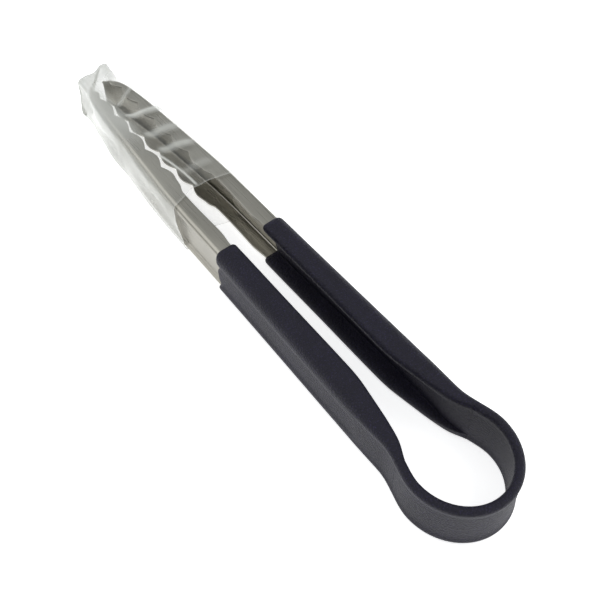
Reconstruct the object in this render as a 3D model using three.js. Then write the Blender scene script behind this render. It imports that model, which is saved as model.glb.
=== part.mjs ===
import * as THREE from 'three';

// One-piece sprung kitchen tongs with a dipped grip and a clear bag over the tips.
// Millimetres. Drawn with the loop's widest point at x = 0, the tips towards +X, the strip's
// width along Z, then moved so that the whole box is centred on x = 0 with z = 0 below it.

// Overall sizes
const TIP_X = 219.3;          // ends of the tips
const LOOP_BACK = 22.2;       // back of the coated loop
const LOOP_HALF = 20.2;       // half its outside width, at x = 0
const COAT_W = 22.8;          // height of the coated strip as it lies on its edges
const STEEL_T = 0.9;          // strip thickness
const COAT_T = 1.15;          // coat over each face
const COAT_GAP = 0.22;        // modelling gap between strip and coat
const SPLIT_GAP = 0.3;        // modelling gap where a long piece is cut into nodes

// Stations along the arm
const NECK_X = 10;            // where the flat strip of the loop turns into a channel
const NECK_Y = 18.19;         // coat's outer face there
const NECK_SLOPE = -0.284;    // of the flat strip as it gets there
const FLANGE_X = 42;          // where the flanges reach their full depth
const GRIP_END_X = 112.5;     // front end of the coat
const RIB_END_X = 141.5;      // rounded front end of the pressed panel
const SCALLOP_X = 148;        // where the scalloped edges begin
const MOUTH_X = 139.5;        // the bag's open mouth
const BAG_PAST = 10;          // the bag's closed end, past the tips
const BAG_END_X = TIP_X + BAG_PAST;

// Channel section
const COAT_R = 3.0;           // outside corner of the coated channel
const STEEL_R = 1.8;          // outside corner of the steel channel
const RIB_DEPTH = 1.0;
const RIB_TOP = COAT_W / 2 - 3.8;     // panel's edges, from the strip's middle line
const RIB_BOTTOM = 3.5 - COAT_W / 2;
const RIB_END_R = 5;          // its front corners

// Scallops and bag
const SCALLOP_PITCH = 11.6;
const SCALLOP_RISE = 1.7;
const FILM_T = 0.35;
const FILM_GAP = 0.4;
const FILM_END_HALF = 8;      // half the width of the closed end
const FILM_SLANT = 9.5;       // the closed end stands further out on the right than on the left
const FILM_HIGH = 4;          // and it climbs to the right
const FILM_LOW = 8;           // and drops to the left

const INSET = COAT_T + COAT_GAP;
const COAT_THICK = 2 * INSET + STEEL_T;
const HALF_COAT = COAT_W / 2;
const HALF_STEEL = HALF_COAT - INSET;

const clamp = (v, a, b) => Math.min(b, Math.max(a, v));
const ease = (v) => { const t = clamp(v, 0, 1); return t * t * (3 - 2 * t); };

// ---------- plan curves ----------

// Value of a smooth curve through the knots [[x, y], ...].
function through(knots, x) {
  const n = knots.length;
  let i = 0;
  while (i < n - 2 && x > knots[i + 1][0]) i += 1;
  const slope = (k) => {
    const a = knots[Math.max(0, k - 1)], b = knots[Math.min(n - 1, k + 1)];
    return (b[1] - a[1]) / (b[0] - a[0]);
  };
  const [x0, y0] = knots[i], [x1, y1] = knots[i + 1];
  const w = x1 - x0, t = clamp((x - x0) / w, 0, 1);
  const m0 = i === 0 ? NECK_SLOPE : slope(i);
  const m1 = slope(i + 1);
  const t2 = t * t, t3 = t2 * t;
  return (2 * t3 - 3 * t2 + 1) * y0 + (t3 - 2 * t2 + t) * w * m0
    + (3 * t2 - 2 * t3) * y1 + (t3 - t2) * w * m1;
}

const ARM_KNOTS = [
  [NECK_X, NECK_Y], [12, 17.64], [15, 17.0], [18, 16.75], [24, 16.9], [32, 17.1], [40, 17.05], [52, 16.75],
  [70, 16.3], [90, 15.85], [GRIP_END_X, 15.4], [146, 14.8], [165, 13.6], [180, 12.4],
  [TIP_X - 23, 11.0], [TIP_X - 12, 9.3], [TIP_X - 5, 7.6], [TIP_X, 4.9],
];
const EDGE_KNOTS = [
  [NECK_X, NECK_Y - 3.7], [12, 13.55], [15.5, 11.8], [18.6, 10.75], [22, 9.95], [26, 9.2],
  [34, 7.9], [FLANGE_X, 6.8], [52, 6.5], [80, 6.35], [GRIP_END_X, 6.1], [145, 6.4],
  [150.5, 4.6], [156, 4.1], [165, 3.9], [176, 3.6], [TIP_X - 23, 3.2], [TIP_X - 8, 2.7],
  [TIP_X, 2.5],
];

// The coat's outer face, on the left arm (and the steel's face plus INSET past the coat).
const faceY = (x) => through(ARM_KNOTS, x);

// The free edges of the flanges, with the scallops standing back from the middle plane.
function edgeY(x) {
  const base = through(EDGE_KNOTS, x);
  if (x < SCALLOP_X) return base;
  const s = Math.abs(Math.sin(Math.PI * (TIP_X - x) / SCALLOP_PITCH));
  return base + SCALLOP_RISE * (1 - s) * ease((x - SCALLOP_X) / 8);
}

// The strip narrows to a rounded nose at the tip.
function noseScale(x) {
  const t = clamp((x - (TIP_X - 13)) / 13, 0, 1);
  return 1 - 0.42 * t * t;
}

// How deep and wide the pressed panel is at x.
function rib(x) {
  const t = clamp((x - (RIB_END_X - RIB_END_R)) / RIB_END_R, 0, 1);
  const start = ease((x - NECK_X - 14) / 12);
  const half = (RIB_TOP - RIB_BOTTOM) / 2 - RIB_END_R * (1 - Math.sqrt(1 - t * t));
  return { depth: RIB_DEPTH * start * (1 - t ** 6), half };
}

// ---------- sections ----------

// Closed outline of a channel in (d, z): d runs inwards from the arm's outer face.
function channelRing({ d0, d1, hh, t, ro, e, x, ribShare }) {
  const cav = d1 - d0 - t;
  const edge = Math.min(e, cav * 0.3), cut = Math.min(edge, t * 0.4);
  const rOut = Math.min(ro, (d1 - d0) * 0.7), rIn = Math.min(Math.max(ro - t, 0.5), cav * 0.55);
  const r = rib(x);
  const mid = (RIB_TOP + RIB_BOTTOM) / 2;
  const web = [[r.half + 0.4, 0], [r.half - 0.5, 1], [0.5 - r.half, 1], [-r.half - 0.4, 0]]
    .map(([z, on]) => [on * r.depth * ribShare, mid + z]);
  const arc = (cd, cz, rad, a0, a1) => [0, 1, 2, 3].map((k) => {
    const a = a0 + (a1 - a0) * k / 3;
    return [cd + rad * Math.cos(a), cz + rad * Math.sin(a)];
  });
  const q = Math.PI / 2, h = hh, hi = hh - t, di = d0 + t;
  const within = (at, top) => web.map(([dd, z]) => [at + dd, clamp(z, 0.1 - top, top - 0.1)]);
  return [
    [d1, h - cut], [d1 - edge, h],
    ...arc(d0 + rOut, h - rOut, rOut, q, 2 * q),
    ...within(d0, h - rOut),
    ...arc(d0 + rOut, -h + rOut, rOut, 2 * q, 3 * q),
    [d1 - edge, -h], [d1, -h + cut],
    [d1, -hi - cut], [d1 - edge, -hi],
    ...arc(di + rIn, -hi + rIn, rIn, 3 * q, 2 * q),
    ...within(di, hi - rIn).reverse(),
    ...arc(di + rIn, hi - rIn, rIn, 2 * q, q),
    [d1 - edge, hi], [d1, hi + cut],
  ];
}

// Closed outline of the flat strip or its coat, with rounded or square corners.
function flatRing({ d0, d1, hh, r, n = 3 }) {
  const out = [];
  for (const [sd, sz, a] of [[1, 1, 0], [-1, 1, 1], [-1, -1, 2], [1, -1, 3]]) {
    for (let k = 0; k <= n; k += 1) {
      const g = (a + k / n) * Math.PI / 2;
      const cd = (d0 + d1) / 2 + sd * ((d1 - d0) / 2 - r);
      out.push([cd + r * Math.cos(g), sz * (hh - r) + r * Math.sin(g)]);
    }
  }
  return out;
}

// Closed outline of the bag: a box with rounded corners, a and b its half sizes.
function bagRing(a, b, r, n = 4, m = 3) {
  const out = [];
  const corners = [[1, 1], [-1, 1], [-1, -1], [1, -1]];
  corners.forEach(([sy, sz], c) => {
    for (let k = 0; k <= n; k += 1) {
      const g = (c + k / n) * Math.PI / 2;
      out.push([sy * (a - r) + r * Math.cos(g), sz * (b - r) + r * Math.sin(g)]);
    }
    const [ny, nz] = corners[(c + 1) % 4];
    const p = out[out.length - 1];
    const g = (c + 1) * Math.PI / 2;
    const q = [ny * (a - r) + r * Math.cos(g), nz * (b - r) + r * Math.sin(g)];
    for (let k = 1; k < m; k += 1) {
      out.push([p[0] + (q[0] - p[0]) * k / m, p[1] + (q[1] - p[1]) * k / m]);
    }
  });
  return out;
}

// ---------- solids ----------

const area = (ring) => ring.reduce((s, p, i) => {
  const q = ring[(i + 1) % ring.length];
  return s + p[0] * q[1] - q[0] * p[1];
}, 0) / 2;

// A closed body through rings of 3-D points. Each station is {ring, hole, place}, where
// place turns a section point into a 3-D one. With holes the body is a sleeve; with
// `blind`, the holes stop one station early and the end is solid.
function body(stations, blind = false) {
  const pos = [], idx = [];
  const n = stations[0].ring.length;
  const put = (s, ring) => {
    const at = pos.length / 3;
    ring.forEach((p) => pos.push(...s.place(p[0], p[1])));
    return at;
  };
  const skin = (rows, flip) => {
    for (let i = 0; i + 1 < rows.length; i += 1) {
      for (let j = 0; j < n; j += 1) {
        const a = rows[i] + j, b = rows[i] + (j + 1) % n;
        const c = rows[i + 1] + j, d = rows[i + 1] + (j + 1) % n;
        if (flip) idx.push(a, c, b, b, c, d); else idx.push(a, b, c, b, d, c);
      }
    }
  };
  // The flat end over a ring: its faces turn with the ring's own points, or against them.
  const cap = (at, ring, along) => {
    const loop = ring.map((p) => new THREE.Vector2(p[0], p[1]));
    const faces = THREE.ShapeUtils.triangulateShape(loop, []);
    const turn = faces.reduce((t, f) => t + area(f.map((k) => ring[k])), 0);
    const same = turn * area(ring) > 0 === along;
    faces.forEach(([a, b, c]) => {
      if (same) idx.push(at + a, at + b, at + c); else idx.push(at + a, at + c, at + b);
    });
  };
  const rim = (a0, b0, flip) => {
    for (let j = 0; j < n; j += 1) {
      const k = (j + 1) % n;
      const [a, b, c, d] = [a0 + j, a0 + k, b0 + j, b0 + k];
      if (flip) idx.push(a, c, b, b, c, d); else idx.push(a, b, c, b, d, c);
    }
  };
  const outer = stations.map((s) => put(s, s.ring));
  skin(outer, false);
  const last = stations.length - 1;
  if (stations[0].hole) {
    const inner = stations.filter((s, i) => !(blind && i === last)).map((s) => put(s, s.hole));
    skin(inner, true);
    rim(inner[0], outer[0], false);
    if (blind) {
      const s = stations[inner.length - 1];
      cap(inner[inner.length - 1], s.hole, false);
      cap(outer[last], stations[last].ring, true);
    } else rim(inner[inner.length - 1], outer[last], true);
  } else {
    cap(outer[0], stations[0].ring, false);
    cap(outer[last], stations[last].ring, true);
  }
  const g = new THREE.BufferGeometry();
  g.setAttribute('position', new THREE.Float32BufferAttribute(pos, 3));
  g.setIndex(idx);
  return outward(g);
}

// Turns every face round if the body came out inside out.
function outward(g) {
  const p = g.getAttribute('position').array, ix = Array.from(g.getIndex().array);
  let v = 0;
  for (let i = 0; i < ix.length; i += 3) {
    const [a, b, c] = [ix[i] * 3, ix[i + 1] * 3, ix[i + 2] * 3];
    v += p[a] * (p[b + 1] * p[c + 2] - p[b + 2] * p[c + 1])
      + p[a + 1] * (p[b + 2] * p[c] - p[b] * p[c + 2])
      + p[a + 2] * (p[b] * p[c + 1] - p[b + 1] * p[c]);
  }
  if (v < 0) {
    for (let i = 0; i < ix.length; i += 3) [ix[i + 1], ix[i + 2]] = [ix[i + 2], ix[i + 1]];
    g.setIndex(ix);
  }
  return g;
}

// The same body on the other side of the middle plane.
function mirrored(g) {
  const m = g.clone();
  const p = m.getAttribute('position');
  for (let i = 0; i < p.count; i += 1) p.setY(i, -p.getY(i));
  return outward(m);
}

const range = (a, b, step) => {
  const n = Math.max(1, Math.round(Math.abs(b - a) / step));
  return Array.from({ length: n + 1 }, (_, i) => a + (b - a) * i / n);
};

// ---------- the arm ----------

function steelRing(x) {
  const y = faceY(x) - INSET, e = edgeY(x) + (x < GRIP_END_X ? INSET : INSET * 0.35);
  return channelRing({
    d0: INSET, d1: INSET + Math.max(y - e, STEEL_T + 0.35),
    hh: HALF_STEEL * noseScale(x), t: STEEL_T, ro: STEEL_R, e: 0.1, x, ribShare: 1,
  });
}

const armPlace = (x, shift) => (d, z) => [x + (shift ? shift(d, z) : 0), faceY(x) - d, z];

function steelArm() {
  const xs = [
    ...range(NECK_X + SPLIT_GAP / 2, FLANGE_X + 12, 3.4), 60, 85, GRIP_END_X - 1, 124,
    RIB_END_X - RIB_END_R, RIB_END_X - 3.2, RIB_END_X - 1.4, RIB_END_X - 0.4, RIB_END_X + 0.3,
    ...range(SCALLOP_X, TIP_X - 6, 2.3), TIP_X - 4, TIP_X - 2, TIP_X - 0.8, TIP_X,
  ];
  return body(xs.map((x) => ({ ring: steelRing(x), place: armPlace(x) })));
}

// The coat's front end is a soft wave that follows the section round.
function frontWave(x) {
  const w = ease((x - (GRIP_END_X - 12)) / 11);
  return (d, z) => w * (1.5 * Math.cos(2.3 * Math.PI * z / COAT_W) - 0.9 + 0.16 * (d - 3));
}

function coatStation(x, thin) {
  const depth = Math.max(faceY(x) - edgeY(x), COAT_THICK + 0.4);
  const hole = channelRing({
    d0: INSET - COAT_GAP, d1: depth - COAT_T, hh: HALF_STEEL + COAT_GAP,
    t: STEEL_T + 2 * COAT_GAP, ro: STEEL_R + COAT_GAP, e: 0.1, x, ribShare: 1,
  });
  const ring = channelRing({
    d0: thin, d1: depth - thin, hh: HALF_COAT - thin, t: COAT_THICK - 2 * thin,
    ro: COAT_R - thin, e: 1.0, x, ribShare: 0.55,
  });
  return { ring, hole, place: armPlace(x, frontWave(x)) };
}

function gripArm() {
  const xs = [...range(NECK_X + SPLIT_GAP / 2, FLANGE_X + 12, 3.4), 60, 80, 96,
    ...range(GRIP_END_X - 11, GRIP_END_X - 2.4, 2.8)];
  const list = xs.map((x) => coatStation(x, 0));
  list.push(coatStation(GRIP_END_X - 1.2, 0.08), coatStation(GRIP_END_X - 0.4, 0.3),
    coatStation(GRIP_END_X, 0.65));
  return body(list);
}

// ---------- the sprung loop ----------

// Outer face of the coated loop, from the neck over the left shoulder to the back.
function loopOutline() {
  const half = range(NECK_X - SPLIT_GAP / 2, 0, 2).map((x) => {
    const t = 1 - x / NECK_X, t2 = t * t, t3 = t2 * t;
    return [x, (2 * t3 - 3 * t2 + 1) * NECK_Y - (t3 - 2 * t2 + t) * NECK_X * NECK_SLOPE
      + (3 * t2 - 2 * t3) * LOOP_HALF];
  });
  range(0, Math.PI / 2, 0.14).slice(1).forEach((a) => half.push(
    [-LOOP_BACK * Math.sin(a), LOOP_HALF * Math.cos(a)]));
  return half;
}

function loopStations(make) {
  const half = loopOutline();
  const all = [...half, ...half.slice(0, -1).reverse().map(([x, y]) => [x, -y])];
  return all.map(([x, y], i) => {
    const [ax, ay] = all[Math.max(0, i - 1)], [bx, by] = all[Math.min(all.length - 1, i + 1)];
    const long = Math.hypot(bx - ax, by - ay);
    const nx = (by - ay) / long, ny = (ax - bx) / long;
    return { ...make(), place: (d, z) => [x - nx * d, y - ny * d, z] };
  });
}

const steelLoop = () => body(loopStations(() => ({
  ring: flatRing({ d0: INSET, d1: INSET + STEEL_T, hh: HALF_STEEL, r: 0.15, n: 1 }),
})));

const gripLoop = () => body(loopStations(() => ({
  ring: flatRing({ d0: 0, d1: COAT_THICK, hh: HALF_COAT, r: 1.1 }),
  hole: flatRing({
    d0: COAT_T, d1: COAT_THICK - COAT_T, hh: HALF_STEEL + COAT_GAP, r: 0.15,
  }),
})));

// ---------- the bag ----------

function tipBag() {
  const pastAt = (x) => clamp((x - TIP_X - 1.5) / (BAG_END_X - TIP_X - 1.5), 0, 1);
  const inside = (x) => {
    const over = pastAt(x);
    const a = Math.max(faceY(Math.min(x, TIP_X - 6)) - INSET + FILM_GAP, 4);
    const b = HALF_STEEL + FILM_GAP;
    return [a + (FILM_END_HALF - a) * over, b + (0.55 - b) * ease(over)];
  };
  const xs = [...range(MOUTH_X, TIP_X + 1.5, 6.8), ...range(TIP_X + 3, BAG_END_X - 1.2, 1.8)];
  // Past the tips the film runs on to a slanted seam, long and high on the right.
  const left = (y) => ease((y + FILM_END_HALF) / (2 * FILM_END_HALF));
  const slant = (x, y) => -pastAt(x) * FILM_SLANT * left(y);
  const tilt = (x, y) => pastAt(x) * (FILM_HIGH - (FILM_HIGH + FILM_LOW) * left(y));
  const at = (x) => {
    const [a, b] = inside(x);
    const r = Math.min(STEEL_R, b * 0.8);
    const skew = ease((MOUTH_X + 16 - x) / 16);
    return {
      ring: bagRing(a + FILM_T, b + FILM_T, r + FILM_T * 0.5), hole: bagRing(a, b, r),
      place: (y, z) => [
        x + skew * (1.5 * Math.cos(y / 5) + 0.25 * z) + slant(x, y), y, z + tilt(x, y),
      ],
    };
  };
  const list = xs.map(at);
  const end = at(BAG_END_X - 1.2);
  const seam = BAG_END_X;
  list.push({ ...end, place: (y, z) => [seam + slant(seam, y), y, z + tilt(seam, y)] });
  return body(list, true);
}

// ---------- assembly ----------

const STEEL = new THREE.MeshStandardMaterial({
  name: 'satin_steel', color: 0xb4b2a8, metalness: 1, roughness: 0.35,
});
const COAT = new THREE.MeshStandardMaterial({
  name: 'black_coat', color: 0x1c1b24, metalness: 0, roughness: 0.75,
});
const FILM = new THREE.MeshStandardMaterial({
  name: 'clear_film', color: 0xe4e7e3, roughness: 0.2, transparent: true, opacity: 0.35,
});

const MIDDLE_X = (BAG_END_X - LOOP_BACK) / 2;

function node(name, geometry, material) {
  geometry.translate(-MIDDLE_X, 0, HALF_COAT);
  geometry.computeVertexNormals();
  const mesh = new THREE.Mesh(geometry, material);
  mesh.name = name;
  return mesh;
}

const tongs = new THREE.Group();
tongs.name = 'tongs';
tongs.add(
  node('left_arm', steelArm(), STEEL),
  node('right_arm', mirrored(steelArm()), STEEL),
  node('spring_bend', steelLoop(), STEEL),
  node('left_grip', gripArm(), COAT),
  node('right_grip', mirrored(gripArm()), COAT),
  node('bend_grip', gripLoop(), COAT),
  node('tip_bag', tipBag(), FILM),
);

export default tongs;
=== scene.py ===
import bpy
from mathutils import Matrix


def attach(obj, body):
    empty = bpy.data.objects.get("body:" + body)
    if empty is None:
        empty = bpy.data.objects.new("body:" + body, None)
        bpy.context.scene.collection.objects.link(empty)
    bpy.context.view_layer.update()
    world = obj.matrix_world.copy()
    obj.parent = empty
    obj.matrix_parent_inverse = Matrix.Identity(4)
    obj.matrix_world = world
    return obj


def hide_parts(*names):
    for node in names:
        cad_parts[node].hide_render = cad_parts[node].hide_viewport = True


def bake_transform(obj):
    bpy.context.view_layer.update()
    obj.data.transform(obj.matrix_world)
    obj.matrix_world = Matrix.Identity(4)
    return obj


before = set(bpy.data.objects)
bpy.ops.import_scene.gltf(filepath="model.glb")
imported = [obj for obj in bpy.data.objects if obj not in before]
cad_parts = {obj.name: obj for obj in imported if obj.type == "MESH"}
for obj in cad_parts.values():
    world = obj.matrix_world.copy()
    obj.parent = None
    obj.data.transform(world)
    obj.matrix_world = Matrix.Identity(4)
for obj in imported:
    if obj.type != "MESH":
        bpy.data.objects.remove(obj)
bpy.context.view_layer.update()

import math

import bmesh
import bpy
from bpy.props import FloatProperty, FloatVectorProperty, PointerProperty
from mathutils import Matrix, Vector, noise

bl_info = {
    "name": "Sprung kitchen tongs",
    "version": (1, 0, 0),
    "blender": (4, 5, 0),
    "location": "3D View > Sidebar > Tongs",
    "description": "One-piece steel tongs with a dipped grip and a film bag over the tips",
    "category": "Object",
}

# Millimetres, drawn with the loop's widest point at x = 0 and the strip's middle line at z = 0.
TIP_X = 219.3  # ends of the tips
LOOP_BACK = 22.2  # back of the coated loop
LOOP_HALF = 20.2  # half its outside width, at x = 0
COAT_W = 22.8  # height of the coated strip on its edges
COAT_GAP = 0.22  # the coat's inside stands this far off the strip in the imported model
NECK_X = 10.0  # where the flat strip of the loop turns into a channel
NECK_Y = 18.19
NECK_SLOPE = -0.284
FLANGE_X = 42.0
GRIP_END_X = 112.5
PANEL_END_X = 141.5
SCALLOP_X = 148.0
MOUTH_X = 139.5
BAG_END_X = TIP_X + 10.0
COAT_R = 3.8  # outside corner of the coated channel
COAT_RIM_R = 1.7  # the coat's rounded rims and lips
COAT_LIP = 1.6  # length of the rounding at the coat's front end
COAT_EDGE = 0.12  # thickness left at the very end of that rounding
COAT_SNUG = 0.03  # the coat's inside clears the strip by this much
STEEL_R = 1.8  # outside corner of the steel channel
STEEL_LIP = 0.2  # its rolled-off edges
PANEL_TOP = 7.6  # the pressed panel's edges, from the strip's middle line
PANEL_BOTTOM = -7.9
PANEL_END_R = 5.0
PANEL_SOFT = 1.3  # width of the step round the panel, in the steel
PANEL_SOFT_COAT = 3.2  # and as it shows through the coat
RIM = 1.2  # rounded rims of the coated strip
RIM_FADE = 3.0  # from a rim's bead to the flat
FILM_END_HALF = 8.0
FILM_SLANT = 9.5  # the closed end stands further out on the right
FILM_HIGH = 4.0  # and it climbs to the right
FILM_LOW = 8.0  # and drops to the left
FILM_CLEAR = 0.55  # film's least distance off the steel
FILM_SKEW = 16.0  # the mouth's slant and wave die out over this length
FILM_END_THICK = 0.35  # half height of the closed end
MIDDLE_X = (BAG_END_X - LOOP_BACK) / 2
HALF_COAT = COAT_W / 2

# Plan of the arm's outer face and of its flange edges, as (x, y).
FACE_KNOTS = [
    (NECK_X, NECK_Y),
    (12, 17.64),
    (15, 17.0),
    (18, 16.75),
    (24, 16.9),
    (32, 17.1),
    (40, 17.05),
    (52, 16.75),
    (70, 16.3),
    (90, 15.85),
    (GRIP_END_X, 15.4),
    (146, 14.8),
    (165, 13.6),
    (180, 12.4),
    (TIP_X - 23, 11.0),
    (TIP_X - 12, 9.3),
    (TIP_X - 5, 7.6),
    (TIP_X, 4.9),
]
EDGE_KNOTS = [
    (NECK_X, NECK_Y - 3.7),
    (12, 13.55),
    (15.5, 11.8),
    (18.6, 10.75),
    (22, 9.95),
    (26, 9.2),
    (34, 7.9),
    (FLANGE_X, 6.8),
    (52, 6.5),
    (80, 6.35),
    (GRIP_END_X, 6.1),
    (145, 6.4),
    (150.5, 4.6),
    (156, 4.1),
    (165, 3.9),
    (176, 3.6),
    (TIP_X - 23, 3.2),
    (TIP_X - 8, 2.7),
    (TIP_X, 2.5),
]


# ---------- properties ----------


def linear(hexa):
    """An sRGB hex colour as linear red, green, blue and alpha."""
    parts = [int(hexa[i : i + 2], 16) / 255 for i in (1, 3, 5)]
    return (*[c / 12.92 if c < 0.04045 else ((c + 0.055) / 1.055) ** 2.4 for c in parts], 1.0)


def size_of(name, description, millimetres):
    """A length that a user would change, kept in metres."""
    return FloatProperty(
        name=name,
        description=description,
        default=millimetres / 1000,
        min=0.0,
        precision=5,
        unit="LENGTH",
    )


def colour_of(name, description, hexa):
    """A colour that a user would change."""
    return FloatVectorProperty(
        name=name, description=description, default=linear(hexa), size=4, subtype="COLOR"
    )


class TongsSizes(bpy.types.PropertyGroup):
    """Sizes of the tongs' details."""

    strip: size_of("Strip thickness", "Thickness of the spring steel strip", 0.9)
    coat: size_of("Coat thickness", "Thickness of the dipped coat on each face", 1.15)
    waist: size_of("Coat waist", "How much thinner the coat is on the flat than at its rims", 0.42)
    panel: size_of("Panel depth", "Depth of the long panel pressed into each arm", 1.0)
    pitch: size_of("Scallop pitch", "Distance from one scallop to the next", 11.6)
    rise: size_of("Scallop rise", "Depth of the notches between the scallops", 1.9)
    pebble: size_of("Pebble size", "Grain of the dipped coat's pebbled surface", 0.75)
    streak: size_of("Brush line spacing", "Spacing of the brushed lines in the steel", 0.35)
    crease: size_of("Crease height", "How far the film's creases stand up", 1.1)


class TongsColours(bpy.types.PropertyGroup):
    """Colours of the tongs' finishes."""

    steel: colour_of("Steel", "Satin stainless steel", "#A5A299")
    coat: colour_of("Coat", "Dipped grip", "#171427")
    # The film colour is also used for the painted highlights and painted sheen on the film.
    film: colour_of("Film", "Milky parts of the clear film", "#DCDDD7")
    floor: colour_of("Floor", "Table under the tongs", "#FAFAFA")


# ---------- plan curves and sections ----------


def ease(value):
    """A smooth step from 0 to 1."""
    t = min(1.0, max(0.0, value))
    return t * t * (3 - 2 * t)


def through(knots, x):
    """Height of the smooth curve through the knots at x."""
    last = len(knots) - 1
    i = 0
    while i < last - 1 and x > knots[i + 1][0]:
        i += 1

    def slope(k):
        a, b = knots[max(0, k - 1)], knots[min(last, k + 1)]
        return (b[1] - a[1]) / (b[0] - a[0])

    (x0, y0), (x1, y1) = knots[i], knots[i + 1]
    w = x1 - x0
    t = min(1.0, max(0.0, (x - x0) / w))
    m0, m1 = NECK_SLOPE if i == 0 else slope(i), slope(i + 1)
    return (
        (2 * t**3 - 3 * t**2 + 1) * y0
        + (t**3 - 2 * t**2 + t) * w * m0
        + (3 * t**2 - 2 * t**3) * y1
        + (t**3 - t**2) * w * m1
    )


class Maker:
    """The tongs' shapes in millimetres, from the scene's properties."""

    def __init__(self, sizes):
        for name in ("strip", "coat", "panel", "pitch", "rise", "crease", "waist"):
            setattr(self, name, getattr(sizes, name) * 1000)
        self.inset = self.coat + COAT_GAP
        self.thick = 2 * self.inset + self.strip
        self.half_steel = HALF_COAT - self.inset

    def edge(self, x):
        """The flange edges' distance from the middle plane, scallops included."""
        base = through(EDGE_KNOTS, x)
        if x < SCALLOP_X:
            return base
        wave = abs(math.sin(math.pi * (TIP_X - x) / self.pitch))
        return base + self.rise * (1 - wave) * ease((x - SCALLOP_X) / 8)

    def pressed(self, x, z, soft):
        """How far the long panel is pressed in at a point of the web."""
        half = (PANEL_TOP - PANEL_BOTTOM) / 2
        over = x - (PANEL_END_X - PANEL_END_R)
        aside = abs(z - (PANEL_TOP + PANEL_BOTTOM) / 2) - (half - PANEL_END_R)
        round_corner = math.hypot(max(over, 0.0), max(aside, 0.0))
        inside = PANEL_END_R - round_corner - min(max(over, aside), 0.0)
        return self.panel * ease(inside / soft) * ease((x - NECK_X - 14) / 12)

    def pressed_steel(self, x, z, inner):
        """The same on both faces of the bare strip."""
        return self.pressed(x, z, PANEL_SOFT)

    def dented(self, x, z, inner):
        """How far the coat's web is drawn in: thin between the rims, pressed with the panel."""
        waist = self.waist * ease((HALF_COAT - RIM - abs(z)) / RIM_FADE)
        waist *= 1 - 0.8 * ease((x - NECK_X) / 45)
        panel = 0.55 * self.pressed(x, z, PANEL_SOFT_COAT)
        if inner:
            return panel - waist * (1 - ease((x - NECK_X) / 14))
        return max(panel, waist)

    def place(self, x, d, z, forward=0.0):
        """A point of the arm's section, d inwards from the outer face along its normal."""
        h = 0.05
        slope = (through(FACE_KNOTS, x + h) - through(FACE_KNOTS, x - h)) / (2 * h)
        if x - h < NECK_X:
            slope = NECK_SLOPE
        long = math.hypot(1, slope)
        return (x + slope * d / long + forward, through(FACE_KNOTS, x) - d / long, z)

    def steel_section(self, x):
        """Corners and radii of the steel channel's section, as (d, z, radius)."""
        past = 0.35 + 0.65 * (1 - ease((x - GRIP_END_X) / 9))
        face = through(FACE_KNOTS, x) - self.inset
        d0 = self.inset
        d1 = d0 + max(face - self.edge(x) - self.inset * past, self.strip + 0.3)
        t = min(1.0, max(0.0, (x - (TIP_X - 13)) / 13))
        half = self.half_steel * (1 - 0.42 * t * t)
        return self.channel(d0, d1, half, self.strip, STEEL_R, STEEL_LIP)

    def channel(self, d0, d1, hh, t, ro, lip):
        """Corners of a channel section, outer side first."""
        deep = max(d1 - d0 - t, 0.02)
        # A section as shallow as the tips' takes a smaller corner.
        ro = min(ro, (d1 - d0) * 0.7)
        ri = min(max(ro - t, 0.4), deep * 0.9)
        out, ins = min(lip, t * 0.48), min(lip, t * 0.48, deep * 0.45)
        hi, di = hh - t, d0 + t
        return [
            (d1, hh, out),
            (d0, hh, ro),
            (d0, -hh, ro),
            (d1, -hh, out),
            (d1, -hi, ins),
            (di, -hi, ri),
            (di, hi, ri),
            (d1, hi, ins),
        ]

    def coat_section(self, x, thin):
        """Corners of the coated channel's section; thin is what its lip has lost."""
        depth = max(through(FACE_KNOTS, x) - self.edge(x), self.thick + 0.02)
        open_up = ease((x - NECK_X) / (FLANGE_X - NECK_X))
        ro = COAT_RIM_R + (COAT_R - COAT_RIM_R) * open_up - thin
        lip = COAT_RIM_R - thin * 0.8
        return self.channel(thin, depth - thin, HALF_COAT - thin, self.thick - 2 * thin, ro, lip)

    def grown(self, corners, by):
        """The same section, larger all round."""
        d1, hh, _ = corners[0]
        d0, t = corners[1][0], corners[5][0] - corners[1][0]
        return self.channel(d0 - by, d1 + by, hh + by, t + 2 * by, STEEL_R, STEEL_LIP)

    def ring(self, corners, x, pressed=None, steps=6, web=26, side=3):
        """A closed ring of (d, z) round a section's filleted corners."""
        points, n = [], len(corners)
        for i, (d, z, r) in enumerate(corners):
            here = Vector((d, z))
            before, after = Vector(corners[i - 1][:2]), Vector(corners[(i + 1) % n][:2])
            u, v = (before - here).normalized(), (after - here).normalized()
            centre = here + (u + v) * r
            for k in range(steps + 1):
                a = math.pi / 2 * k / steps
                points.append(centre - v * r * math.cos(a) - u * r * math.sin(a))
            nd, nz, nr = corners[(i + 1) % n]
            start, stop = points[-1], Vector((nd, nz)) - v * nr
            count = web if i in (1, 5) else side if i in (0, 2, 4, 6) else 1
            for k in range(1, count + 1):
                points.append(start.lerp(stop, k / (count + 1)))
        if pressed:
            limit = (corners[1][0] + corners[5][0]) / 2
            for p in points:
                inner = abs(p.x - limit) < (corners[5][0] - corners[1][0]) * 0.62
                if inner:
                    p.x += pressed(x, p.y, p.x > limit)
        return points


def in_row(x, y, z):
    """A point of the drawing, in metres and in the row frame."""
    return ((x - MIDDLE_X) / 1000, y / 1000, (z + HALF_COAT) / 1000)


def steps_between(*stops):
    """Values from stop to stop: each stop is (value, spacing up to it)."""
    values = [stops[0][0]]
    for value, spacing in stops[1:]:
        start = values[-1]
        count = max(1, round((value - start) / spacing))
        values += [start + (value - start) * k / count for k in range(1, count + 1)]
    return values


# ---------- meshes ----------


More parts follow.
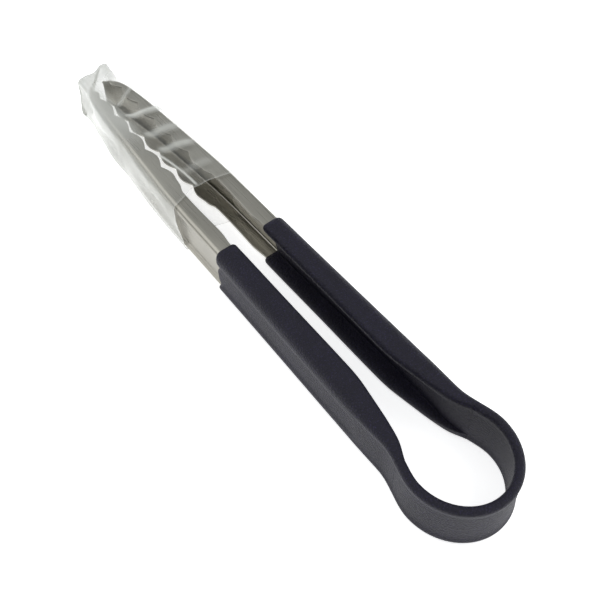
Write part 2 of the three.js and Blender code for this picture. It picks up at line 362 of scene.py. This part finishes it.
def mesh_object(name, points, faces, smooth=True):
    """A mesh object at the origin, its points in the row frame."""
    mesh = bpy.data.meshes.new(name)
    mesh.from_pydata(points, [], faces)
    mesh.validate()
    if smooth:
        mesh.shade_smooth()
    made = bpy.data.objects.new(name, mesh)
    bpy.context.scene.collection.objects.link(made)
    return made


def strips(rows, n, closed=True, turned=False):
    """Quads between rings, each given by the index of its first point."""
    faces = []
    for a, b in zip(rows, rows[1:]):
        for j in range(n if closed else n - 1):
            k = (j + 1) % n
            quad = (a + j, a + k, b + k, b + j)
            faces.append(quad[::-1] if turned else quad)
    return faces


def mirrored(points):
    """The points on the other side of the middle plane."""
    return [(x, -y, z) for x, y, z in points]


def outwards(made):
    """Turns a closed mesh's faces outwards."""
    bm = bmesh.new()
    bm.from_mesh(made.data)
    bmesh.ops.recalc_face_normals(bm, faces=bm.faces)
    if bm.calc_volume(signed=True) < 0:
        bmesh.ops.reverse_faces(bm, faces=bm.faces)
    bm.to_mesh(made.data)
    bm.free()


def solid(name, rings, holes=None, mirror=False):
    """A closed body through rings of row-frame points, hollow if holes are given."""
    n = len(rings[0])
    points = [p for ring in rings for p in ring]
    rows = [i * n for i in range(len(rings))]
    faces = strips(rows, n)
    if holes:
        start = len(points)
        points += [p for ring in holes for p in ring]
        inner = [start + i * n for i in range(len(holes))]
        faces += strips(inner, n, turned=True)
        faces += strips([inner[0], rows[0]], n)
        faces += strips([rows[-1], inner[-1]], n)
    else:
        faces += [tuple(range(n))[::-1], tuple(rows[-1] + j for j in range(n))]
    made = mesh_object(name, mirrored(points) if mirror else points, faces)
    outwards(made)
    return made


def keep_edges(made, degrees):
    """Shades smooth except across edges sharper than this."""
    bm = bmesh.new()
    bm.from_mesh(made.data)
    for edge in bm.edges:
        edge.smooth = edge.calc_face_angle(0.0) < math.radians(degrees)
    bm.to_mesh(made.data)
    bm.free()


# ---------- the loop, swept by geometry nodes ----------


def add(tree, kind, inputs=None, **settings):
    """Adds a node with its settings; inputs holds values or the sockets that feed it."""
    node = tree.nodes.new(kind)
    for key, value in settings.items():
        setattr(node, key, value)
    for key, value in (inputs or {}).items():
        socket = node.inputs[key]
        if isinstance(value, bpy.types.NodeSocket):
            tree.links.new(value, socket)
        else:
            socket.default_value = value
    return node


def sweep_tree():
    """Nodes that sweep a rounded flat bar along the object's own polyline."""
    tree = bpy.data.node_groups.new("Flat bar along a path", "GeometryNodeTree")
    face = tree.interface
    face.new_socket("Path", in_out="INPUT", socket_type="NodeSocketGeometry")
    for name in ("Thickness", "Width", "Corner radius", "Waist", "Rim", "Rim fade"):
        face.new_socket(name, in_out="INPUT", socket_type="NodeSocketFloat")
    for name in ("Corner steps", "Steps round"):
        face.new_socket(name, in_out="INPUT", socket_type="NodeSocketInt")
    face.new_socket("Finish", in_out="INPUT", socket_type="NodeSocketMaterial")
    face.new_socket("Bar", in_out="OUTPUT", socket_type="NodeSocketGeometry")
    given = tree.nodes.new("NodeGroupInput").outputs
    path = add(tree, "GeometryNodeMeshToCurve", {"Mesh": given["Path"]})
    upright = add(tree, "GeometryNodeSetCurveNormal", {"Curve": path.outputs[0]})
    if hasattr(upright, "mode"):
        upright.mode = "Z_UP"
    else:
        upright.inputs["Mode"].default_value = "Z Up"
    bar = add(
        tree,
        "GeometryNodeCurvePrimitiveQuadrilateral",
        {"Width": given["Thickness"], "Height": given["Width"]},
        mode="RECTANGLE",
    )
    rounded = add(
        tree,
        "GeometryNodeFilletCurve",
        {"Curve": bar.outputs[0], "Radius": given["Corner radius"]},
    )
    if hasattr(rounded, "mode"):
        rounded.mode = "POLY"
    else:
        rounded.inputs["Mode"].default_value = "Poly"
    tree.links.new(given["Corner steps"], rounded.inputs["Count"])
    swept = add(
        tree,
        "GeometryNodeCurveToMesh",
        {"Curve": upright.outputs[0], "Profile Curve": waisted(tree, rounded, given), "Fill Caps": True},
    )
    smooth = add(tree, "GeometryNodeSetShadeSmooth", {"Geometry": swept.outputs[0]})
    real = add(tree, "GeometryNodeRealizeInstances", {"Geometry": smooth.outputs[0]})
    dressed = add(
        tree,
        "GeometryNodeSetMaterial",
        {"Geometry": real.outputs[0], "Material": given["Finish"]},
    )
    out = tree.nodes.new("NodeGroupOutput")
    tree.links.new(dressed.outputs[0], out.inputs[0])
    return tree


def waisted(tree, rounded, given):
    """The bar's profile, drawn in on both faces between its rounded rims."""
    even = add(tree, "GeometryNodeResampleCurve", {"Curve": rounded.outputs[0]})
    tree.links.new(given["Steps round"], even.inputs["Count"])
    place = add(tree, "ShaderNodeSeparateXYZ", {0: add(tree, "GeometryNodeInputPosition").outputs[0]})
    height = add(tree, "ShaderNodeMath", {0: place.outputs["Y"]}, operation="ABSOLUTE")
    half = add(tree, "ShaderNodeMath", {0: given["Width"], 1: 0.5}, operation="MULTIPLY")
    start = add(tree, "ShaderNodeMath", {0: half.outputs[0], 1: given["Rim"]}, operation="SUBTRACT")
    stop = add(tree, "ShaderNodeMath", {0: start.outputs[0], 1: given["Rim fade"]}, operation="SUBTRACT")
    share = add(
        tree,
        "ShaderNodeMapRange",
        {"Value": height.outputs[0], "From Min": start.outputs[0], "From Max": stop.outputs[0]},
        interpolation_type="SMOOTHSTEP",
    )
    side = add(tree, "ShaderNodeMath", {0: place.outputs["X"]}, operation="SIGN")
    depth = add(tree, "ShaderNodeMath", {0: share.outputs[0], 1: given["Waist"]}, operation="MULTIPLY")
    back = add(tree, "ShaderNodeMath", {0: depth.outputs[0], 1: side.outputs[0]}, operation="MULTIPLY")
    inward = add(tree, "ShaderNodeMath", {0: back.outputs[0], 1: -1.0}, operation="MULTIPLY")
    shift = add(tree, "ShaderNodeCombineXYZ", {"X": inward.outputs[0]})
    moved = add(
        tree, "GeometryNodeSetPosition", {"Geometry": even.outputs[0], "Offset": shift.outputs[0]}
    )
    return moved.outputs[0]


def loop_path(depth):
    """Centre points of the loop, depth inside its outer face, from left neck to right."""
    half = []
    for k in range(40):
        s = k / 40
        half.append(
            (
                NECK_X * (1 - s),
                (2 * s**3 - 3 * s**2 + 1) * NECK_Y
                - (s**3 - 2 * s**2 + s) * NECK_X * NECK_SLOPE
                + (3 * s**2 - 2 * s**3) * LOOP_HALF,
            )
        )
    turns = 90
    for k in range(turns + 1):
        a = math.pi / 2 * k / turns
        half.append((-LOOP_BACK * math.sin(a), LOOP_HALF * math.cos(a)))
    outline = half + [(x, -y) for x, y in reversed(half[:-1])]
    path = []
    for i, (x, y) in enumerate(outline):
        (ax, ay), (bx, by) = outline[max(0, i - 1)], outline[min(len(outline) - 1, i + 1)]
        long = math.hypot(bx - ax, by - ay)
        path.append(in_row(x - (by - ay) / long * depth, y - (ax - bx) / long * depth, 0))
    return path


def swept_loop(name, depth, thickness, width, radius, waist, steps, finish):
    """A flat bar bent round the loop, made by geometry nodes and turned to a plain mesh."""
    points = loop_path(depth)
    carrier = mesh_object(name + "_path", points, [])
    carrier.data.clear_geometry()
    carrier.data.from_pydata(points, [(i, i + 1) for i in range(len(points) - 1)], [])
    tree = sweep_tree()
    modifier = carrier.modifiers.new("Sweep", "NODES")
    modifier.node_group = tree
    values = {
        "Thickness": thickness / 1000,
        "Width": width / 1000,
        "Corner radius": radius / 1000,
        "Waist": waist / 1000,
        "Rim": RIM / 1000,
        "Rim fade": RIM_FADE / 1000,
        "Corner steps": 6,
        "Steps round": steps,
        "Finish": finish,
    }
    for item in tree.interface.items_tree:
        if item.name in values and item.in_out == "INPUT":
            modifier[item.identifier] = values[item.name]
    evaluated = carrier.evaluated_get(bpy.context.evaluated_depsgraph_get())
    mesh = bpy.data.meshes.new_from_object(evaluated)
    mesh.name = name
    made = bpy.data.objects.new(name, mesh)
    bpy.context.scene.collection.objects.link(made)
    bpy.data.objects.remove(carrier)
    bm = bmesh.new()
    bm.from_mesh(mesh)
    bmesh.ops.remove_doubles(bm, verts=bm.verts, dist=1e-7)
    bm.to_mesh(mesh)
    bm.free()
    outwards(made)
    if len(mesh.polygons) < 100:
        raise RuntimeError(f"{name} was not swept")
    return made


# ---------- materials ----------


def new_material(name):
    """An empty node material with its output node."""
    made = bpy.data.materials.new(name)
    made.use_nodes = True
    made.node_tree.nodes.clear()
    return made, made.node_tree, made.node_tree.nodes.new("ShaderNodeOutputMaterial")


def brushed_stainless(colours, sizes):
    """Stainless 18/8 strip, satin brushed along its length: soft long reflections."""
    made, tree, out = new_material("brushed_stainless")
    place = add(tree, "ShaderNodeTexCoord").outputs["Object"]
    fine = 0.25 / sizes.streak
    # Brush lines run along X: the pattern is drawn out about sixty times that way.
    lines = add(
        tree, "ShaderNodeMapping", {"Vector": place, "Scale": (fine / 60, fine, fine)}
    )
    streaks = add(
        tree,
        "ShaderNodeTexNoise",
        {"Vector": lines.outputs[0], "Scale": 4.0, "Detail": 6.0, "Roughness": 0.6},
    )
    broad = add(
        tree,
        "ShaderNodeTexNoise",
        {"Vector": place, "Scale": 38.0, "Detail": 3.0, "Roughness": 0.5},
    )
    rough = add(
        tree,
        "ShaderNodeMapRange",
        {"Value": streaks.outputs[0], "From Min": 0.3, "From Max": 0.7, "To Min": 0.24, "To Max": 0.42},
    )
    shade = add(
        tree,
        "ShaderNodeMapRange",
        {"Value": broad.outputs[0], "From Min": 0.3, "From Max": 0.7, "To Min": 0.90, "To Max": 1.04},
    )
    streak_shade = add(
        tree,
        "ShaderNodeMapRange",
        {"Value": streaks.outputs[0], "From Min": 0.3, "From Max": 0.7, "To Min": 0.90, "To Max": 1.06},
    )
    both = add(
        tree,
        "ShaderNodeMath",
        {0: shade.outputs[0], 1: streak_shade.outputs[0]},
        operation="MULTIPLY",
    )
    tint = add(
        tree,
        "ShaderNodeVectorMath",
        {0: colours.steel[:3], "Scale": both.outputs[0]},
        operation="SCALE",
    )
    bump = add(
        tree,
        "ShaderNodeBump",
        {"Height": streaks.outputs[0], "Strength": 0.35, "Distance": 0.00006},
    )
    shader = add(
        tree,
        "ShaderNodeBsdfPrincipled",
        {
            "Base Color": tint.outputs[0],
            "Metallic": 1.0,
            "Roughness": rough.outputs[0],
            "Normal": bump.outputs[0],
        },
    )
    tree.links.new(shader.outputs[0], out.inputs[0])
    return made


def dipped_coat(colours, sizes):
    """Plastisol (soft PVC) dip coat with a pebbled surface: near black, broken highlights."""
    made, tree, out = new_material("dipped_pvc_coat")
    place = add(tree, "ShaderNodeTexCoord").outputs["Object"]
    grain = 1 / sizes.pebble
    pebbles = add(
        tree,
        "ShaderNodeTexVoronoi",
        {"Vector": place, "Scale": grain, "Smoothness": 0.6},
        feature="SMOOTH_F1",
    )
    grit = add(
        tree,
        "ShaderNodeTexNoise",
        {"Vector": place, "Scale": grain * 1.9, "Detail": 3.0, "Roughness": 0.65},
    )
    flow = add(
        tree,
        "ShaderNodeTexNoise",
        {"Vector": place, "Scale": 90.0, "Detail": 2.0},
    )
    height = add(
        tree,
        "ShaderNodeMath",
        {0: pebbles.outputs["Distance"], 1: grit.outputs[0]},
        operation="SUBTRACT",
    )
    bump = add(
        tree,
        "ShaderNodeBump",
        {"Height": height.outputs[0], "Strength": 0.9, "Distance": 0.0003},
    )
    rough = add(
        tree,
        "ShaderNodeMapRange",
        {"Value": grit.outputs[0], "From Min": 0.3, "From Max": 0.7, "To Min": 0.42, "To Max": 0.62},
    )
    shade = add(
        tree,
        "ShaderNodeMapRange",
        {"Value": flow.outputs[0], "From Min": 0.3, "From Max": 0.7, "To Min": 0.85, "To Max": 1.2},
    )
    # Painted highlight specks: the colour is raised up to 2.6 times where the pebble height is lowest and
    # lowered to 0.7 times where it is highest, standing in for glints.
    painted_glints = add(
        tree,
        "ShaderNodeMapRange",
        {"Value": height.outputs[0], "From Min": -0.15, "From Max": -0.45, "To Min": 0.7, "To Max": 2.6},
    )
    both = add(
        tree, "ShaderNodeMath", {0: shade.outputs[0], 1: painted_glints.outputs[0]}, operation="MULTIPLY"
    )
    tint = add(
        tree,
        "ShaderNodeVectorMath",
        {0: colours.coat[:3], "Scale": both.outputs[0]},
        operation="SCALE",
    )
    shader = add(
        tree,
        "ShaderNodeBsdfPrincipled",
        {
            "Base Color": tint.outputs[0],
            "Roughness": rough.outputs[0],
            "IOR": 1.52,
            "Specular IOR Level": 0.3,
            "Normal": bump.outputs[0],
        },
    )
    tree.links.new(shader.outputs[0], out.inputs[0])
    return made


def crinkled_film(colours):
    """Blown polyethylene film: clear, glossy and white where it is doubled, with painted highlight streaks
    along its tight bands and fold line, painted sheen on its +y side and a painted highlight along the
    mouth's edge.
    """
    made, tree, out = new_material("polyethylene_film")
    place = add(tree, "ShaderNodeTexCoord").outputs["Object"]
    # This attribute holds painted highlight streaks along the tight bands and the fold line.
    crease = add(tree, "ShaderNodeAttribute", attribute_name="crease")
    # This attribute holds the film's milk, with painted sheen on the +y side and a painted highlight along
    # the mouth's edge.
    milk_and_sheen = add(tree, "ShaderNodeAttribute", attribute_name="milk_and_sheen")
    wrinkle = add(
        tree,
        "ShaderNodeTexNoise",
        {"Vector": place, "Scale": 60.0, "Detail": 2.0, "Roughness": 0.45, "Distortion": 0.6},
    )
    bump = add(
        tree,
        "ShaderNodeBump",
        {"Height": wrinkle.outputs[0], "Strength": 0.4, "Distance": 0.002},
    )
    rim = add(tree, "ShaderNodeLayerWeight", {"Blend": 0.3, "Normal": bump.outputs[0]})
    shine = add(
        tree,
        "ShaderNodeMapRange",
        {"Value": rim.outputs["Facing"], "From Min": 0.2, "From Max": 0.95, "To Min": 0.05, "To Max": 0.45},
    )
    milk_and_highlights = add(
        tree,
        "ShaderNodeMath",
        {0: crease.outputs["Fac"], 1: milk_and_sheen.outputs["Fac"]},
        operation="MAXIMUM",
    )
    cover = add(
        tree,
        "ShaderNodeMath",
        {0: shine.outputs[0], 1: milk_and_highlights.outputs[0]},
        operation="ADD",
        use_clamp=True,
    )
    shader = add(
        tree,
        "ShaderNodeBsdfPrincipled",
        {
            "Base Color": colours.film,
            "Roughness": 0.13,
            "IOR": 1.5,
            "Alpha": cover.outputs[0],
            "Normal": bump.outputs[0],
        },
    )
    tree.links.new(shader.outputs[0], out.inputs[0])
    return made


def plain_table(colours):
    """Matt opal acrylic light table, lit from below so that shadows stay faint."""
    made, tree, out = new_material("lit_opal_table")
    shader = add(
        tree,
        "ShaderNodeBsdfPrincipled",
        {
            "Base Color": colours.floor,
            "Roughness": 0.9,
            "Specular IOR Level": 0.0,
            "Emission Color": colours.floor,
            "Emission Strength": 0.7,
        },
    )
    tree.links.new(shader.outputs[0], out.inputs[0])
    return made


def finish_named(name, make, *given):
    """The material of that name, made once."""
    return bpy.data.materials.get(name) or make(*given)


def steel_finish(scene):
    return finish_named("brushed_stainless", brushed_stainless, scene.tongs_colours, scene.tongs_sizes)


def coat_finish(scene):
    return finish_named("dipped_pvc_coat", dipped_coat, scene.tongs_colours, scene.tongs_sizes)


# ---------- operators ----------


class MakeTongsArms(bpy.types.Operator):
    """Presses the two steel arms: channel, long panel, scallops and rounded tip"""

    bl_idname = "tongs.make_arms"
    bl_label = "Steel arms"

    def execute(self, context):
        maker = Maker(context.scene.tongs_sizes)
        half = (PANEL_TOP - PANEL_BOTTOM) / 2
        xs = steps_between(
            (NECK_X, 1),
            (FLANGE_X + 12, 1.5),
            (GRIP_END_X - 4, 6),
            (PANEL_END_X - half - 1, 1.6),
            (PANEL_END_X + 1, 0.4),
            (SCALLOP_X, 1.0),
            (TIP_X - 4, 0.45),
            (TIP_X, 0.25),
        )
        rings = []
        for x in xs:
            section = maker.ring(maker.steel_section(x), x, maker.pressed_steel, steps=5)
            rings.append([in_row(*maker.place(x, p.x, p.y)) for p in section])
        for side in ("left", "right"):
            made = solid(f"{side}_steel_arm", rings, mirror=side == "right")
            keep_edges(made, 50)
            made.data.materials.append(steel_finish(context.scene))
            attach(made, side)
            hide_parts(f"{side}_arm")
        return {"FINISHED"}


class MakeTongsSpring(bpy.types.Operator):
    """Bends the flat strip round the loop, inside its coat"""

    bl_idname = "tongs.make_spring"
    bl_label = "Spring loop"

    def execute(self, context):
        maker = Maker(context.scene.tongs_sizes)
        made = swept_loop(
            "spring_strip",
            maker.inset + maker.strip / 2,
            maker.strip,
            2 * maker.half_steel,
            STEEL_LIP,
            0.0,
            48,
            steel_finish(context.scene),
        )
        bend_with_the_arms(made)
        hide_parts("spring_bend")
        return {"FINISHED"}


def bend_with_the_arms(made):
    """Bakes the piece's transform into its mesh."""
    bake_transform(made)


class MakeTongsGrips(bpy.types.Operator):
    """Dips the coat: both arms' grips and the coat round the loop"""

    bl_idname = "tongs.make_grips"
    bl_label = "Coated grips"

    def execute(self, context):
        maker = Maker(context.scene.tongs_sizes)
        stops = steps_between(
            (NECK_X, 1), (FLANGE_X + 14, 0.8), (GRIP_END_X - 14, 3), (GRIP_END_X - COAT_LIP, 0.8)
        )
        stations = [(x, 0.0) for x in stops]
        turns = 8
        for k in range(1, turns + 1):
            a = math.pi / 2 * k / turns
            x = GRIP_END_X - COAT_LIP + COAT_LIP * math.sin(a)
            stations.append((x, (maker.coat - COAT_EDGE) * (1 - math.cos(a))))
        rings, holes = [], []
        for x, thin in stations:
            outside = maker.ring(maker.coat_section(x, thin), x, maker.dented)
            snug = maker.grown(maker.steel_section(x), COAT_SNUG)
            inside = maker.ring(snug, x, maker.pressed_steel)
            rings.append([in_row(*maker.place(x, *p, self.front(x, p.y))) for p in outside])
            holes.append([in_row(*maker.place(x, *p, self.front(x, p.y))) for p in inside])
        for side in ("left", "right"):
            made = solid(f"{side}_coat", rings, holes, mirror=side == "right")
            made.data.materials.append(coat_finish(context.scene))
            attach(made, side)
            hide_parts(f"{side}_grip")
        made = swept_loop(
            "loop_coat",
            maker.thick / 2,
            maker.thick,
            COAT_W,
            COAT_RIM_R,
            maker.waist,
            84,
            coat_finish(context.scene),
        )
        bend_with_the_arms(made)
        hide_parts("bend_grip")
        return {"FINISHED"}

    def front(self, x, z):
        """How far the wave of the coat's front end pushes a point forward."""
        share = ease((x - (GRIP_END_X - 10)) / 9)
        return share * (0.6 * math.cos(z * 0.62 + 0.5) + 0.25 * math.sin(z * 1.3) - 0.1)


class MakeTongsBag(bpy.types.Operator):
    """Pulls the crinkled film bag over the tips"""

    bl_idname = "tongs.make_bag"
    bl_label = "Film bag"

    def execute(self, context):
        maker = Maker(context.scene.tongs_sizes)
        xs = steps_between((MOUTH_X, 1), (BAG_END_X, 0.75))
        rings, painted_highlights, milk_and_sheen_values = [], [], []
        for x in xs:
            ring, crease, milk_and_sheen = film_ring(maker, x)
            rings.append(ring)
            painted_highlights += crease
            milk_and_sheen_values += milk_and_sheen
        n = len(rings[0])
        points = [p for ring in rings for p in ring]
        faces = strips([i * n for i in range(len(rings))], n)
        last = (len(rings) - 1) * n
        half = n // 2
        # The closed end is a flat seam: its upper and lower layers meet point by point.
        for j in range(half):
            a, b = last + j, last + (j + 1) % n
            c, d = last + n - 1 - j, last + (n - 2 - j) % n
            if len({a, b, c, d}) == 4:
                faces.append((a, c, d, b))
        made = mesh_object("tip_film_bag", points, faces)
        # Stored per point: painted highlight streaks, and the film's milk with painted sheen.
        for name, values in (("crease", painted_highlights), ("milk_and_sheen", milk_and_sheen_values)):
            made.data.attributes.new(name, "FLOAT", "POINT").data.foreach_set("value", values)
        outwards(made)
        made.data.materials.append(
            finish_named("polyethylene_film", crinkled_film, context.scene.tongs_colours)
        )
        bend_with_the_arms(made)
        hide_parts("tip_bag")
        return {"FINISHED"}


def film_outline(maker, x):
    """Half width, half height and corner radius of the bag at x, and its share of the way
    from the tips to the closed end."""
    past = min(1.0, max(0.0, (x - TIP_X - 1.5) / (BAG_END_X - TIP_X - 1.5)))
    a = max(through(FACE_KNOTS, min(x, TIP_X - 6)) - maker.inset + FILM_CLEAR, 4)
    b = maker.half_steel + FILM_CLEAR
    b_here = b + (FILM_END_THICK - b) * ease(past)
    return a + (FILM_END_HALF - a) * past, b_here, min(STEEL_R, b_here * 0.8), past


# Where the film is pulled tight across the top and painted with a white highlight streak, as (station, lean
# per mm, half width, strength).
FILM_BANDS = (
    (189.0, 0.4, 1.5, 1.7),
    (176.0, 0.25, 2.4, 1.1),
    (165.5, 0.3, 2.0, 1.2),
    (201.0, -0.5, 1.2, 0.9),
    (152.0, 0.2, 3.0, 0.6),
)


def film_folds(x, y, normal):
    """How much of a tight band, and how much of the painted highlight line beside the left arm, passes
    through a point.
    """
    top = max(0.0, normal.y)
    band = 0.0
    for at, lean, wide, strength in FILM_BANDS:
        off = (x - at - lean * (y + 3)) / wide
        fade = ease((y + 13) / 5) * ease((5 - y) / 4)
        band = max(band, strength * math.exp(-off * off) * fade)
    # A long curved line of painted highlight runs from the mouth beside the left arm.
    line = 0.9 + 3.2 * max(0.0, (x - 145) / 21) ** 2
    along = ease((x - 139) / 3) * ease((168 - x) / 4)
    return band * top, top * along * math.exp(-(((y - line) / 0.55) ** 2))


def film_section(a, b, r, sides=(44, 34), corner=7):
    """Points and outward normals round a box with rounded corners."""
    flat = []
    quarters = ((1, 1), (-1, 1), (-1, -1), (1, -1))
    for quarter, (sy, sz) in enumerate(quarters):
        for k in range(corner + 1):
            g = (quarter + k / corner) * math.pi / 2
            normal = Vector((math.cos(g), math.sin(g)))
            flat.append((Vector((sy * (a - r), sz * (b - r))) + normal * r, normal))
        ny, nz = quarters[(quarter + 1) % 4]
        g = (quarter + 1) * math.pi / 2
        normal = Vector((math.cos(g), math.sin(g)))
        start = flat[-1][0]
        stop = Vector((ny * (a - r), nz * (b - r))) + normal * r
        count = sides[quarter % 2]
        for k in range(1, count):
            flat.append((start.lerp(stop, k / count), normal))
    return flat


def film_ring(maker, x):
    """One ring of the film, and how much painted highlight and how much milk with painted sheen each of its
    points carries.
    """
    a, b, r, past = film_outline(maker, x)
    ring, painted_highlights, milk_and_sheen_values = [], [], []
    skew = ease((MOUTH_X + FILM_SKEW - x) / FILM_SKEW)
    free = 1 - ease((past - 0.75) / 0.25)
    for p, normal in film_section(a, b, r):
        y, z = p
        seat = Vector((x * 0.055, y * 0.11, z * 0.11 + 7.0))
        wide = noise.noise(seat)
        lift = maker.crease * (0.35 + 0.9 * wide) * free
        band, fold = film_folds(x, y, normal)
        lift += maker.crease * 0.5 * band * free
        sag = -0.9 * math.exp(-((y / 2.4) ** 2)) * (1 - past) * abs(normal.y)
        lift = max(0.0, lift) + sag
        across = normal * lift
        left = ease((y + FILM_END_HALF) / (2 * FILM_END_HALF))
        slant = -past * FILM_SLANT * left
        tilt = past * (FILM_HIGH - (FILM_HIGH + FILM_LOW) * left)
        mouth = skew * (1.5 * math.cos(y / 5) + 0.25 * z)
        ring.append(in_row(x + mouth + slant, y + across.x, z + across.y + tilt))
        # Painted highlight: white streaks along the tight bands and the fold line.
        painted_highlights.append(min(1.0, max(0.42 * band, 0.9 * fold)))
        end = 0.42 * ease((x - TIP_X + 8) / 9)
        # Painted sheen: toward the tips the +y half, and all along the faces turned to +y, are made
        # milkier.
        side = 0.55 * ease((y - 0.5) / 5) * ease((x - 165) / 35) * (1 + 0.4 * wide)
        side = max(side, 0.3 * max(0.0, normal.x) * (1 + 0.8 * wide))
        # Painted highlight along the mouth's edge.
        mouth_highlight = 0.3 * ease((MOUTH_X + 0.9 - x) / 0.9)
        milk_and_sheen_values.append(0.06 + max(end, side) + mouth_highlight)
    return ring, painted_highlights, milk_and_sheen_values


class MakeTongsStage(bpy.types.Operator):
    """Sets the table, the soft lights and the camera"""

    bl_idname = "tongs.make_stage"
    bl_label = "Stage"

    def execute(self, context):
        scene = context.scene
        half = 3.0
        corners = [(-half, -half, 0), (half, -half, 0), (half, half, 0), (-half, half, 0)]
        floor = mesh_object("table", corners, [(0, 1, 2, 3)])
        floor.location.z = -0.0002
        floor.data.materials.append(plain_table(scene.tongs_colours))
        world = bpy.data.worlds.new("studio")
        world.use_nodes = True
        tree = world.node_tree
        back = tree.nodes["Background"]
        back.inputs["Color"].default_value = (0.95, 0.98, 1.0, 1.0)
        # Dimmer towards the horizon, so that upright faces of the steel have something to show.
        way = add(tree, "ShaderNodeTexCoord").outputs["Generated"]
        up = add(tree, "ShaderNodeSeparateXYZ", {0: way}).outputs["Z"]
        glow = add(
            tree,
            "ShaderNodeMapRange",
            {"Value": up, "From Min": 0.0, "From Max": 0.85, "To Min": 0.30, "To Max": 0.62},
        )
        tree.links.new(glow.outputs[0], back.inputs["Strength"])
        scene.world = world
        scene.view_settings.view_transform = "Standard"
        self.soft_light("key", (-0.55, -0.7, 0.95), 0.8, 6.0)
        self.soft_light("fill", (0.9, 0.5, 0.9), 1.2, 5.0)
        eye = Vector((-0.20015, 0.1349, 0.3321))
        forward = Vector((0.4602, -0.3474, -0.8170))
        right = Vector((-0.6132, -0.7899, -0.0096))
        up = right.cross(forward)
        turn = Matrix((right, up, -forward)).transposed()
        lens = bpy.data.cameras.new("camera")
        lens.sensor_width, lens.lens = 36.0, 65.3
        lens.clip_start, lens.clip_end = 0.01, 20
        camera = bpy.data.objects.new("camera", lens)
        camera.matrix_world = Matrix.Translation(eye) @ turn.to_4x4()
        scene.collection.objects.link(camera)
        scene.camera = camera
        return {"FINISHED"}

    def soft_light(self, name, place, size, power):
        """A square soft box aimed at the tongs."""
        lamp = bpy.data.lights.new(name, "AREA")
        lamp.shape, lamp.size, lamp.energy = "SQUARE", size, power
        made = bpy.data.objects.new(name, lamp)
        made.location = place
        made.rotation_mode = "QUATERNION"
        made.rotation_quaternion = (-Vector(place)).to_track_quat("-Z", "Y")
        bpy.context.scene.collection.objects.link(made)


class TongsPanel(bpy.types.Panel):
    """Lists the sizes, the colours and the pieces"""

    bl_idname = "VIEW3D_PT_tongs"
    bl_label = "Kitchen tongs"
    bl_space_type = "VIEW_3D"
    bl_region_type = "UI"
    bl_category = "Tongs"

    def draw(self, context):
        for group in (context.scene.tongs_sizes, context.scene.tongs_colours):
            column = self.layout.column()
            for name in group.__annotations__:
                column.prop(group, name)
        for piece in PIECES:
            self.layout.operator(piece.bl_idname)


PIECES = (MakeTongsArms, MakeTongsSpring, MakeTongsGrips, MakeTongsBag, MakeTongsStage)
CLASSES = (TongsSizes, TongsColours, *PIECES, TongsPanel)


def register():
    for item in CLASSES:
        bpy.utils.register_class(item)
    bpy.types.Scene.tongs_sizes = PointerProperty(type=TongsSizes)
    bpy.types.Scene.tongs_colours = PointerProperty(type=TongsColours)


def unregister():
    del bpy.types.Scene.tongs_colours
    del bpy.types.Scene.tongs_sizes
    for item in reversed(CLASSES):
        bpy.utils.unregister_class(item)


def main():
    register()
    bpy.ops.tongs.make_arms()
    bpy.ops.tongs.make_spring()
    bpy.ops.tongs.make_grips()
    bpy.ops.tongs.make_bag()
    bpy.ops.tongs.make_stage()


if __name__ == "__main__":
    main()
